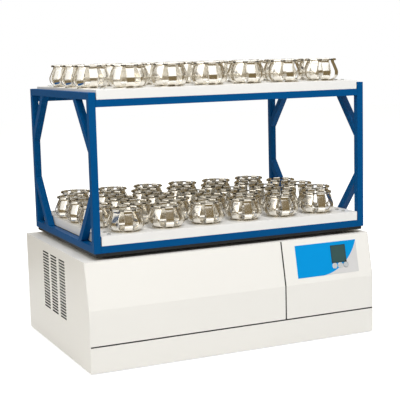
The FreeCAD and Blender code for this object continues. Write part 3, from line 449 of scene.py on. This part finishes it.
def finger_profile(sizes):
    """Outer line of a finger as pairs of radius and height, from the disc up to its lip's end."""
    bulge, neck, roll, up = sizes.bulge_radius, sizes.neck_radius, sizes.roll, sizes.bulge_up
    foot, seat = sizes.foot_radius, sizes.disc_sheet
    spread = bulge - foot
    centre = sizes.tall - sizes.sheet - roll
    # Flat on the disc, then an arc out to the bulge
    knots = [(foot - 10 * MM, seat), (foot, seat), (foot + 0.45 * spread, seat + 2 * MM),
             (foot + 0.78 * spread, seat + 8 * MM), (bulge - 1.2 * MM, up - 15 * MM)]
    # Upright band, and the fold above it
    knots += [(bulge, up - 8 * MM), (bulge, up + 1 * MM), (bulge - 1.8 * MM, up + 5 * MM)]
    # Leg that leans in to the neck
    knots += [(neck + 4.5 * MM, centre - 16 * MM), (neck + 1 * MM, centre - 10 * MM),
              (neck, centre - 5 * MM)]
    # Lip that rolls outward over the spring
    for degrees in (180, 135, 90, 45, 0, -45):
        turn = math.radians(degrees)
        knots.append((neck + roll + roll * math.cos(turn), centre + roll * math.sin(turn)))
    return [Vector(knot) for knot in knots]


def rounded(line, share):
    """The line with each inner corner cut into three points."""
    out = [line[0]]
    for before, corner, after in zip(line, line[1:], line[2:]):
        start, end = corner.lerp(before, share), corner.lerp(after, share)
        out += [start, (start + end) / 4 + corner / 2, end]
    return out + [line[-1]]


def finger(sizes):
    """One bent strip, nearly flat across its width, with both faces and its edges."""
    line = rounded(finger_profile(sizes), CORNER_SHARE)
    across = [-1.0, -0.9, -0.45, 0.0, 0.45, 0.9, 1.0]
    crown_radius = CROWN_SHARE * sizes.bulge_radius
    outer, inner = [], []
    for i, place in enumerate(line):
        slope = (line[min(i + 1, len(line) - 1)] - line[max(i - 1, 0)]).normalized()
        back = Vector((-slope.y, slope.x)) * sizes.sheet
        for a in across:
            half = a * sizes.finger_width / 2
            crown = half * half / (2 * crown_radius) if place.y > 2 * sizes.disc_sheet else 0
            edge = (EDGE_SHARE if abs(a) == 1.0 else 0.0) * back
            outer.append(Vector((place.x - crown + edge.x, half, place.y + edge.y)))
            inner.append(Vector((place.x - crown + back.x - edge.x, half,
                                 place.y + back.y - edge.y)))
    points = outer + inner
    wide, tall, total = len(across), len(line), len(outer)
    faces = []
    for i in range(tall - 1):
        for k in range(wide - 1):
            a = i * wide + k
            faces.append((a, a + 1, a + wide + 1, a + wide))
            faces.append((total + a, total + a + wide, total + a + wide + 1, total + a + 1))
        left, right = i * wide, i * wide + wide - 1
        faces.append((left, left + wide, total + left + wide, total + left))
        faces.append((right, total + right, total + right + wide, right + wide))
    for k in range(wide - 1):
        top = (tall - 1) * wide + k
        faces.append((k, total + k, total + k + 1, k + 1))
        faces.append((top, top + 1, total + top + 1, total + top))
    return points, faces


def spring_ring(sizes):
    """Coil spring under the lips, straight between fingers, its coils drawn 5 mm apart."""
    half = SPRING_REACH * sizes.finger_width
    reach = sizes.neck_radius + sizes.roll
    height = sizes.tall - sizes.sheet - sizes.roll
    corners = []
    for i in range(sizes.fingers):
        turn = sizes.turn + 2 * math.pi * i / sizes.fingers
        out = Vector((math.cos(turn), math.sin(turn), 0))
        side = Vector((-math.sin(turn), math.cos(turn), 0))
        corners.append(out * reach - side * half + Vector((0, 0, height)))
        corners.append(out * reach + side * half + Vector((0, 0, height)))
    path, radii = [], []
    for i, corner in enumerate(corners):
        onward = corners[(i + 1) % len(corners)]
        steps = 2 * max(1, round((onward - corner).length / COIL_PITCH))
        for k in range(steps):
            path.append(corner.lerp(onward, k / steps))
            radii.append(sizes.spring * (1.0 if k % 2 else COIL_WAIST))
    return tube_loop(path, radii)


def clamp_shapes(sizes):
    """Strip parts, spring and screw of one clamp, standing on the origin."""
    disc, rim = sizes.disc_sheet, sizes.disc_radius
    plate = lathe([(0, 0.0), (rim, 0.0), (rim, disc - 0.8 * MM), (rim - 1 * MM, disc),
                   (0, disc)], 32)
    turns = [Matrix.Rotation(sizes.turn + 2 * math.pi * i / sizes.fingers, 4, "Z")
             for i in range(sizes.fingers)]
    strips = join([plate, copies(finger(sizes), turns)])
    return strips, spring_ring(sizes), screw_head(*CLAMP_SCREW, disc)


class SHAKER_OT_clamps(bpy.types.Operator):
    """Builds the rows of sprung flask clamps on both trays"""
    bl_idname = "shaker.clamps"
    bl_label = "Flask clamps"

    def execute(self, context):
        strips, spring, screw = clamp_shapes(context.scene.shaker_clamps)
        for deck in ("lower", "upper"):
            for row in CLAMP_ROWS:
                node = "%s_clamps_row_%d" % (deck, row)
                places = self.row_places(
                    node, CLAMPS_IN_END_ROW if row in END_ROWS else CLAMPS_IN_MIDDLE_ROW)
                piece = mesh_piece(node + "_strips", copies(strips, places),
                                   "sprung_stainless_strip", "platform")
                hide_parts(node)
                mesh_piece(node + "_springs", copies(spring, places),
                           # Painted shade: the springs are dark grey for the shadow under the
                           # lips.
                           "stainless_spring_wire", "platform")
                mesh_piece(node + "_screws", copies(screw, places),
                           "zinc_plated_screw_steel", "platform")
        return {"FINISHED"}

    def row_places(self, node, count):
        """Where the clamps of a row stand: evenly between the ends of the node's box."""
        low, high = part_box(node)
        reach = (high[1] - low[1]) / 2
        step = (high[0] - low[0] - 2 * reach) / (count - 1)
        centre_y = (low[1] + high[1]) / 2
        return [Matrix.Translation((low[0] + reach + i * step, centre_y, low[2]))
                for i in range(count)]


# Housing

HOUSING_NODES = ("bottom_plate", "left_side_panel", "right_side_panel", "rear_panel", "top_cover",
                 "front_cover", "control_cover", "plinth_cover")
BENT_COVERS = ("front_cover", "control_cover", "plinth_cover", "top_cover")
COVER_SCREW = (3.7 * MM, 2.0 * MM)
COVER_SCREWS_PER_EDGE = 4
# Centre to corner of the plain six-sided heads
COVER_HEAD_REACH = 5 * MM


class SHAKER_OT_housing(bpy.types.Operator):
    """Finishes the housing's covers, their screws and the feet"""
    bl_idname = "shaker.housing"
    bl_label = "Housing"

    def execute(self, context):
        dress("powder_coated_housing_steel", *HOUSING_NODES)
        soften(0.6, *BENT_COVERS)
        # Painted shade: the carrier is near black so the grooves between the covers look shaded.
        dress("dark_inner_enamel", "cover_frame")
        dress("moulded_foot_rubber", "rubber_feet")
        dress("moulded_black_nylon", "power_inlet", "switch_bezel", "rocker_switch")
        self.rear_screws()
        return {"FINISHED"}

    def rear_screws(self):
        """Domed heads in place of the plain six-sided ones."""
        low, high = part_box("cover_screws")
        left, right = low[0] + COVER_HEAD_REACH, high[0] - COVER_HEAD_REACH
        rise = COVER_HEAD_REACH * math.sqrt(3) / 2
        turn = Matrix.Rotation(math.radians(-90), 4, "X")
        places = []
        for z in (low[2] + rise, high[2] - rise):
            for i in range(COVER_SCREWS_PER_EDGE):
                x = left + (right - left) * i / (COVER_SCREWS_PER_EDGE - 1)
                places.append(Matrix.Translation((x, low[1], z)) @ turn)
        piece = mesh_piece("rear_cover_screws", copies(screw_head(*COVER_SCREW, 0.0), places),
                           "zinc_plated_screw_steel", "base")
        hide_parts("cover_screws")


# Control panel

CREASE_UP = 222 * MM
SLOPE_TOP_UP = 385 * MM
# From here on, places are on the sloping face as face_frame gives it
FILM_TOP = 0.6 * MM
GLASS_TOP = FILM_TOP + 1.2 * MM
RIM_LEFT, RIM_LOW, RIM_RIGHT, RIM_HIGH = 397 * MM, 64 * MM, 461 * MM, 130 * MM
RIM_WIDTH = 1.8 * MM
RIM_TOP = GLASS_TOP + 0.3 * MM
INDICATOR_PLACE = (458.5 * MM, 68 * MM, 0)
INDICATOR_PROFILE = [(0, FILM_TOP), (3.2 * MM, FILM_TOP), (3.2 * MM, GLASS_TOP),
                     (2.2 * MM, GLASS_TOP + 0.9 * MM), (0, GLASS_TOP + 1.2 * MM)]
BUTTONS_UP = 53.3 * MM
SILVER_BUTTONS_X = (408.6 * MM, 432.9 * MM)
GREY_BUTTON_X = 457.2 * MM
RING_INNER, RING_OUTER = 9.9 * MM, 11.2 * MM
RING_TOP = FILM_TOP + 0.6 * MM
RING_PROFILE = [(RING_INNER, FILM_TOP), (RING_OUTER, FILM_TOP), (RING_OUTER - 0.3 * MM, RING_TOP),
                (RING_INNER, RING_TOP), (RING_INNER, FILM_TOP)]


def face_frame():
    """Matrix of the sloping face: x across, y up the slope from the crease, z out of the face."""
    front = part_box("control_cover")[0][1]
    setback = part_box("top_cover")[0][1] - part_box("left_side_panel")[0][1]
    lean = math.atan2(setback, SLOPE_TOP_UP - CREASE_UP)
    turn = Matrix.Rotation(math.pi / 2 - lean, 4, "X")
    return Matrix.Translation((0, front, CREASE_UP)) @ turn


def outline(left, low, right, high, width, foot, top):
    """A raised rectangular frame of four bars."""
    return join([block((left, low, foot), (right, low + width, top)),
                 block((left, high - width, foot), (right, high, top)),
                 block((left, low + width, foot), (left + width, high - width, top)),
                 block((right - width, low + width, foot), (right, high - width, top))])


class SHAKER_OT_control_panel(bpy.types.Operator):
    """Finishes the printed panel, display, indicator and push buttons"""
    bl_idname = "shaker.control_panel"
    bl_label = "Control panel"

    def execute(self, context):
        dress("printed_blue_polyester", "blue_overlay")
        dress("printed_grey_polyester", "grey_overlay")
        dress("unlit_display_acrylic", "display_window")
        dress("metallised_button_abs", "push_button_1", "push_button_2")
        dress("clear_ring_abs", "push_button_3")
        dress("solder_masked_board", "control_board")
        dress("moulded_black_nylon", "button_switches")
        rim = outline(RIM_LEFT, RIM_LOW, RIM_RIGHT, RIM_HIGH, RIM_WIDTH, FILM_TOP, RIM_TOP)
        self.face_piece("display_rim", rim, [(0, 0, 0)], "dark_display_print", "black_plastic")
        self.face_piece("indicator_lamp", lathe(INDICATOR_PROFILE, 20), [INDICATOR_PLACE],
                        "black_indicator_cap", "black_plastic")
        ring = lathe(RING_PROFILE, 40)
        self.face_piece("button_rings", ring, [(x, BUTTONS_UP, 0) for x in SILVER_BUTTONS_X],
                        "metallised_button_abs", "button_cap")
        self.face_piece("grey_button_ring", ring, [(GREY_BUTTON_X, BUTTONS_UP, 0)],
                        "satin_grey_ring_abs", "button_cap")
        return {"FINISHED"}

    def face_piece(self, name, shape, places, material, slot):
        """A piece from copies of a shape at places on the sloping face."""
        face = face_frame()
        turns = [face @ Matrix.Translation(place) for place in places]
        mesh_piece(name, copies(shape, turns), material, "base", crisp=35)


# Drive

DRIVE_FINISHES = {
    "grey_machine_enamel": (
        "bearing_deck", "deck_legs", "motor_mount", "drive_motor", "power_unit"),
    "machined_grey_iron": (
        "main_bearing_housing", "idler_bearing_housings", "counterweight", "table_bearings"),
    "ground_crank_steel": (
        "crank_shaft", "idler_crank_1", "idler_crank_2", "idler_crank_3", "idler_crank_4"),
    "turned_cast_aluminium": ("main_pulley", "motor_pulley"),
    "neoprene_drive_belt": ("drive_belt",),
}


class SHAKER_OT_drive(bpy.types.Operator):
    """Finishes the belt drive, cranks and bearings inside the housing"""
    bl_idname = "shaker.drive"
    bl_label = "Drive"

    def execute(self, context):
        for material, nodes in DRIVE_FINISHES.items():
            dress(material, *nodes)
        return {"FINISHED"}


# Frame and trays

FRAME_NODES = ("corner_posts", "lower_long_rails", "upper_long_rails", "lower_end_rails",
               "upper_end_rails", "end_braces")
TRAY_NODES = ("lower_tray", "upper_tray")
TRAY_SCREW = (6 * MM, 4 * MM)
# The plain six-sided heads: centre to corner, centre to flat, height, and step within a pair
TRAY_HEAD_REACH = 7 * MM
TRAY_HEAD_FLAT = 6 * MM
TRAY_HEAD_TALL = 5 * MM
TRAY_SCREW_STEP = 45 * MM


class SHAKER_OT_frame(bpy.types.Operator):
    """Finishes the tube frame and the table that carries it"""
    bl_idname = "shaker.tube_frame"
    bl_label = "Tube frame"

    def execute(self, context):
        dress("powder_coated_frame_tube", *FRAME_NODES)
        soften(1.2, *FRAME_NODES)
        # Partly painted shade: the plate's near-black stands for the shadow under the frame.
        dress("black_enamelled_plate", "drive_table")
        return {"FINISHED"}


class SHAKER_OT_trays(bpy.types.Operator):
    """Finishes the two trays and their screws"""
    bl_idname = "shaker.trays"
    bl_label = "Trays"

    def execute(self, context):
        dress("powder_coated_tray_steel", *TRAY_NODES)
        soften(1.2, *TRAY_NODES)
        self.corner_screws()
        return {"FINISHED"}

    def corner_screws(self):
        """Domed heads on washers, a pair along each corner's end rail, in place of plain ones."""
        low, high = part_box("tray_screws")
        front, rear = low[1] + TRAY_HEAD_FLAT, high[1] - TRAY_HEAD_FLAT
        places = [Matrix.Translation((x, y, z))
                  for z in (low[2], high[2] - TRAY_HEAD_TALL)
                  for x in (low[0] + TRAY_HEAD_REACH, high[0] - TRAY_HEAD_REACH)
                  for y in (front, front + TRAY_SCREW_STEP, rear - TRAY_SCREW_STEP, rear)]
        piece = mesh_piece("tray_corner_screws", copies(screw_head(*TRAY_SCREW, 0.0), places),
                           "zinc_plated_screw_steel", "platform")
        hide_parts("tray_screws")


# Stage, in metres

FLOOR_REACH = 14
FLOOR_LIFT = 0.7
CARD_RADIUS = 1.7
SKY_ON_SURFACES = 0.47
SKY_AS_SEEN = 1.0

# Tone and strength
CARD_PAPERS = {"khaki_studio_card": ("#817152", 1.0), "white_studio_card": ("#ffffff", 1.5)}

# Name, low and high edge, turns in degrees from +X, paper
CARDS = (
    ("round_khaki_card", 0.01, 2.0, range(-135, 151, 5), "khaki_studio_card"),
    ("left_khaki_card", 0.01, 0.95, range(150, 226, 5), "khaki_studio_card"),
    ("bright_top_card", 2.0, 3.3, range(0, 361, 10), "white_studio_card"),
)

# Name, place, target, size, power, colour, and whether polished surfaces show it
LAMPS = (
    ("key_softbox", (-0.3, -3.0, 4.7), (0, 0, 0.4), 2.6, 182, "#ffffff", False),
    ("side_fill", (-4.4, -1.4, 2.6), (0, 0, 0.5), 2.8, 47, "#fff6e4", True),
    ("back_fill", (1.2, 4.4, 2.4), (0, 0, 0.5), 2.8, 45, "#ffffff", False),
    ("top_softbox", (0.3, 0.6, 4.2), (0, 0, 0.5), 2.6, 25, "#ffffff", True),
)


def seen_rays(tree):
    """The ray's path, and a factor of 1 where the camera or a polished surface looks."""
    path = add(tree, "ShaderNodeLightPath")
    seen = add(tree, "ShaderNodeMath", {
        0: path.outputs["Is Camera Ray"], 1: path.outputs["Is Glossy Ray"]}, operation="MAXIMUM")
    return path, seen


class SHAKER_OT_stage(bpy.types.Operator):
    """Sets the camera, the soft lights and the plain pale floor"""
    bl_idname = "shaker.stage"
    bl_label = "Stage"

    def execute(self, context):
        scene = context.scene
        scene.view_settings.view_transform = "Standard"
        self.camera(scene)
        self.floor(scene)
        self.world(scene)
        for name, low, high, turns, paper in CARDS:
            self.card(scene, name, low, high, turns, paper)
        for name, place, target, size, power, tone, shown in LAMPS:
            self.lamp(scene, name, place, target, size, power, tone, shown)
        return {"FINISHED"}

    def camera(self, scene):
        place = scene.shaker_camera
        data = bpy.data.cameras.new("product_camera")
        data.lens = place.lens
        data.sensor_width = SENSOR_WIDTH
        data.clip_end = 60
        item = bpy.data.objects.new("product_camera", data)
        forward = Vector((math.sin(place.heading) * math.cos(place.tilt),
                          math.cos(place.heading) * math.cos(place.tilt), -math.sin(place.tilt)))
        right = Vector((math.cos(place.heading), -math.sin(place.heading), 0))
        up = right.cross(forward)
        side = right * math.cos(place.roll) + up * math.sin(place.roll)
        top = up * math.cos(place.roll) - right * math.sin(place.roll)
        turn = Matrix((side, top, -forward)).transposed()
        item.matrix_world = Matrix.Translation(place.position) @ turn.to_4x4()
        scene.collection.objects.link(item)
        scene.camera = item

    def floor(self, scene):
        data = bpy.data.meshes.new("studio_floor")
        corners = [(x * FLOOR_REACH, y * FLOOR_REACH, 0)
                   for x, y in ((-1, -1), (1, -1), (1, 1), (-1, 1))]
        data.from_pydata(corners, [], [(0, 1, 2, 3)])
        item = bpy.data.objects.new("studio_floor", data)
        scene.collection.objects.link(item)
        data.materials.append(self.paper())

    def card(self, scene, name, low, high, turns, paper):
        """A curved card that only polished surfaces see, for the bands in bright steel."""
        points = []
        for degrees in turns:
            turn = math.radians(degrees)
            points += [(CARD_RADIUS * math.cos(turn), CARD_RADIUS * math.sin(turn), z)
                       for z in (low, high)]
        faces = [(i, i + 2, i + 3, i + 1) for i in range(0, len(points) - 2, 2)]
        data = bpy.data.meshes.new(name)
        data.from_pydata(points, [], faces)
        data.materials.append(self.card_paper(paper))
        item = bpy.data.objects.new(name, data)
        item.visible_camera = False
        item.visible_diffuse = False
        item.visible_transmission = False
        item.visible_volume_scatter = False
        item.visible_shadow = False
        scene.collection.objects.link(item)

    def card_paper(self, name):
        """Even card, as bright as it looks from the stage."""
        item = bpy.data.materials.get(name)
        if item is None:
            tone, strength = CARD_PAPERS[name]
            item = bpy.data.materials.new(name)
            tree = empty_tree(item)
            shade = add(tree, "ShaderNodeEmission", {
                "Color": linear(tone) + (1,), "Strength": strength})
            add(tree, "ShaderNodeOutputMaterial", {"Surface": shade.outputs[0]})
        return item

    def paper(self):
        """Seamless white paper: matt, and white to the camera where no shadow falls."""
        item = bpy.data.materials.new("white_background_paper")
        tree = empty_tree(item)
        place = add(tree, "ShaderNodeTexCoord").outputs["Object"]
        fibres = add(tree, "ShaderNodeTexNoise", {"Vector": place, "Scale": 400.0, "Detail": 2.0})
        bump = add(tree, "ShaderNodeBump", {
            "Height": fibres.outputs["Fac"], "Strength": 0.02, "Distance": 1 * MM})
        matt = add(tree, "ShaderNodeBsdfDiffuse", {
            "Color": linear("#cfcfcd") + (1,), "Normal": bump.outputs["Normal"]})
        lift = add(tree, "ShaderNodeEmission", {"Color": (1, 1, 1, 1), "Strength": FLOOR_LIFT})
        none = add(tree, "ShaderNodeEmission", {"Strength": 0.0})
        seen = seen_rays(tree)[1]
        glow = add(tree, "ShaderNodeMixShader", {
            0: seen.outputs[0], 1: none.outputs[0], 2: lift.outputs[0]})
        total = add(tree, "ShaderNodeAddShader", {0: matt.outputs[0], 1: glow.outputs[0]})
        add(tree, "ShaderNodeOutputMaterial", {"Surface": total.outputs[0]})
        return item

    def world(self, scene):
        """White all round where it is seen, and dimmer as light on the object."""
        world = bpy.data.worlds.new("white_studio")
        tree = empty_tree(world)
        path, seen = seen_rays(tree)
        clear = add(tree, "ShaderNodeMath", {
            0: seen.outputs[0], 1: path.outputs["Is Transmission Ray"]}, operation="MAXIMUM")
        strength = add(tree, "ShaderNodeMapRange", {
            "Value": clear.outputs[0], "To Min": SKY_ON_SURFACES, "To Max": SKY_AS_SEEN})
        sky = add(tree, "ShaderNodeBackground", {
            "Color": (1, 1, 1, 1), "Strength": strength.outputs["Result"]})
        add(tree, "ShaderNodeOutputWorld", {"Surface": sky.outputs[0]})
        scene.world = world

    def lamp(self, scene, name, place, target, size, power, tone, shown):
        data = bpy.data.lights.new(name, "AREA")
        data.shape = "SQUARE"
        data.size = size
        data.energy = power
        data.color = linear(tone)
        item = bpy.data.objects.new(name, data)
        item.location = place
        item.rotation_euler = (Vector(target) - Vector(place)).to_track_quat("-Z", "Y").to_euler()
        item.visible_glossy = shown
        scene.collection.objects.link(item)


class SHAKER_PT_parts(bpy.types.Panel):
    """Lists the groups of pieces with their settings"""
    bl_label = "Double-deck shaker"
    bl_idname = "SHAKER_PT_parts"
    bl_space_type = "VIEW_3D"
    bl_region_type = "UI"
    bl_category = "Shaker"

    def draw(self, context):
        scene = context.scene
        for group in (scene.shaker_colours, scene.shaker_clamps, scene.shaker_camera):
            column = self.layout.box().column()
            for name in group.bl_rna.properties.keys():
                if name not in ("rna_type", "name"):
                    column.prop(group, name)
        for operator in OPERATORS:
            self.layout.operator(operator.bl_idname)


OPERATORS = (SHAKER_OT_housing, SHAKER_OT_control_panel, SHAKER_OT_drive, SHAKER_OT_frame,
             SHAKER_OT_trays, SHAKER_OT_clamps, SHAKER_OT_stage)
CLASSES = (ShakerColours, ClampSizes, CameraPlace) + OPERATORS + (SHAKER_PT_parts,)


def register():
    for item in CLASSES:
        bpy.utils.register_class(item)
    bpy.types.Scene.shaker_colours = bpy.props.PointerProperty(type=ShakerColours)
    bpy.types.Scene.shaker_clamps = bpy.props.PointerProperty(type=ClampSizes)
    bpy.types.Scene.shaker_camera = bpy.props.PointerProperty(type=CameraPlace)


def unregister():
    del bpy.types.Scene.shaker_camera
    del bpy.types.Scene.shaker_clamps
    del bpy.types.Scene.shaker_colours
    for item in reversed(CLASSES):
        bpy.utils.unregister_class(item)


def main():
    register()
    bpy.ops.shaker.housing()
    bpy.ops.shaker.control_panel()
    bpy.ops.shaker.drive()
    bpy.ops.shaker.tube_frame()
    bpy.ops.shaker.trays()
    bpy.ops.shaker.clamps()
    bpy.ops.shaker.stage()


if __name__ == "__main__":
    main()
